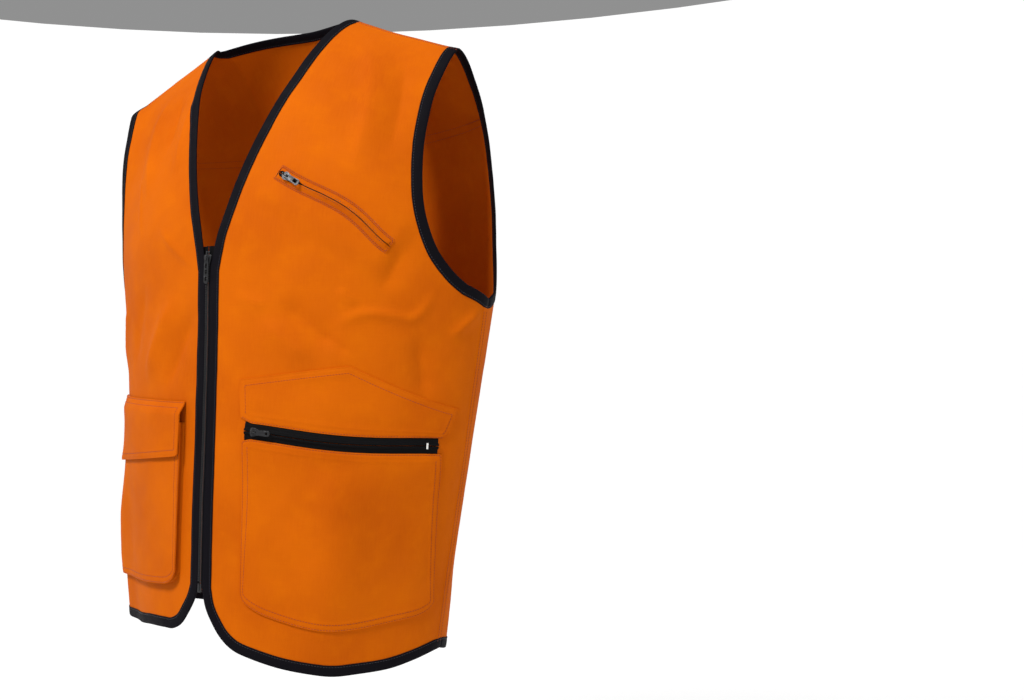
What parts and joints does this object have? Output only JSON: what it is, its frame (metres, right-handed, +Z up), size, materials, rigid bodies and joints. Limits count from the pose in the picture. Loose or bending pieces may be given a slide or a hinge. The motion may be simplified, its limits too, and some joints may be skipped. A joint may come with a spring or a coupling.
{
  "type": "utility vest",
  "caption": "Sleeveless V-neck zip-front vest with contrast bound edges, a slanted zipped chest pocket, a zipped patch pocket and a flapped bellows pocket.",
  "frame": {"origin": "midway between the two neck points, on the line where the shoulders carry the vest", "axes": "+Z up, -Y is the direction the front faces, +X is the wearer's left"},
  "size_m": [0.4872, 0.2981, 0.7162],
  "materials": {
    "orange_cloth": "matte plain-weave cotton",
    "binding_tape": "matte woven tape",
    "zip_tape": "matte woven tape",
    "zip_chain": "satin moulded teeth",
    "slider_metal": "dark satin",
    "white_thread": "matte thread",
    "touch_closure": "matte napped strip"
  },
  "bodies": {
    "shell": {"back_panel": "orange_cloth", "back_yoke": "orange_cloth", "back_neck_binding": "binding_tape", "back_hem_binding": "binding_tape", "left_armhole_binding_back": "binding_tape", "right_armhole_binding_back": "binding_tape"},
    "front_left": {"left_front_panel": "orange_cloth", "left_front_edge_binding": "binding_tape", "left_armhole_binding_front": "binding_tape", "front_zip_tape_left": "zip_tape", "front_zip_chain_left": "zip_chain", "front_zip_pin": "zip_chain", "front_zip_top_stop_left": "slider_metal", "chest_zip_welt_upper": "orange_cloth", "chest_zip_welt_lower": "orange_cloth", "chest_zip_tape_upper": "zip_tape", "chest_zip_tape_lower": "zip_tape", "chest_zip_chain_upper": "zip_chain", "chest_zip_chain_lower": "zip_chain", "chest_pocket_bag": "orange_cloth", "left_pocket_yoke": "orange_cloth", "left_pocket_bag": "orange_cloth", "pocket_zip_tape_upper": "zip_tape", "pocket_zip_tape_lower": "zip_tape", "pocket_zip_chain_upper": "zip_chain", "pocket_zip_chain_lower": "zip_chain", "pocket_zip_bartack": "white_thread"},
    "front_right": {"right_front_panel": "orange_cloth", "right_front_edge_binding": "binding_tape", "right_armhole_binding_front": "binding_tape", "front_zip_tape_right": "zip_tape", "front_zip_chain_right": "zip_chain", "front_zip_box": "zip_chain", "front_zip_top_stop_right": "slider_metal", "cargo_pocket_face": "orange_cloth", "cargo_pocket_gusset": "orange_cloth", "cargo_closure_inner": "touch_closure", "cargo_closure_outer": "touch_closure"},
    "front_slider": {"front_zip_slider": "slider_metal"},
    "front_pull": {"front_zip_pull": "slider_metal"},
    "chest_slider": {"chest_zip_slider": "slider_metal"},
    "chest_pull": {"chest_zip_pull": "slider_metal"},
    "pocket_slider": {"pocket_zip_slider": "slider_metal"},
    "pocket_pull": {"pocket_zip_pull": "slider_metal"},
    "cargo_flap": {"cargo_pocket_flap": "orange_cloth"}
  },
  "joints": [
    {"name": "front_left_hinge", "type": "hinge", "parent": "shell", "child": "front_left", "pos_m": [0.2437, 0.016, -0.297], "axis": [0.1303, 0.047, 0.9904], "range_deg": [0, 25]},
    {"name": "front_right_hinge", "type": "hinge", "parent": "shell", "child": "front_right", "pos_m": [-0.2437, 0.016, -0.297], "axis": [-0.1303, 0.047, 0.9904], "range_deg": [-25, 0]},
    {"name": "front_zip_slide", "type": "slide", "parent": "front_left", "child": "front_slider", "axis": [0, -0.0415, -0.9991], "range_m": [0, 0.32]},
    {"name": "front_pull_hinge", "type": "hinge", "parent": "front_slider", "child": "front_pull", "pos_m": [0, -0.13948, -0.25335], "axis": [-1, 0, 0], "range_deg": [0, 150]},
    {"name": "chest_zip_slide", "type": "hinge", "parent": "front_left", "child": "chest_slider", "pos_m": [0.01979, 0.13996, -0.24176], "axis": [0.4774, 0.3331, 0.8131], "range_deg": [0, 24.2]},
    {"name": "chest_pull_hinge", "type": "hinge", "parent": "chest_slider", "child": "chest_pull", "pos_m": [0.0856, -0.11934, -0.17418], "axis": [-0.4774, -0.3331, -0.8131], "range_deg": [0, 140]},
    {"name": "pocket_zip_slide", "type": "hinge", "parent": "front_left", "child": "pocket_slider", "pos_m": [0.00019, 0.11122, -0.43504], "axis": [0.0688, 0.033, 0.9971], "range_deg": [0, 37.1]},
    {"name": "pocket_pull_hinge", "type": "hinge", "parent": "pocket_slider", "child": "pocket_pull", "pos_m": [0.06177, -0.14246, -0.4309], "axis": [-0.0688, -0.033, -0.9971], "range_deg": [0, 140]},
    {"name": "cargo_flap_hinge", "type": "hinge", "parent": "front_right", "child": "cargo_flap", "pos_m": [-0.12521, -0.11186, -0.403], "axis": [-0.8796, 0.4758, 0], "range_deg": [0, 110]}
  ],
  "couplings": [
    {"joint": "front_right_hinge", "follows": "front_left_hinge", "ratio": -1},
    {"joint": "front_zip_slide", "follows": "front_left_hinge", "m_per_rad": 0.7329}
  ]
}
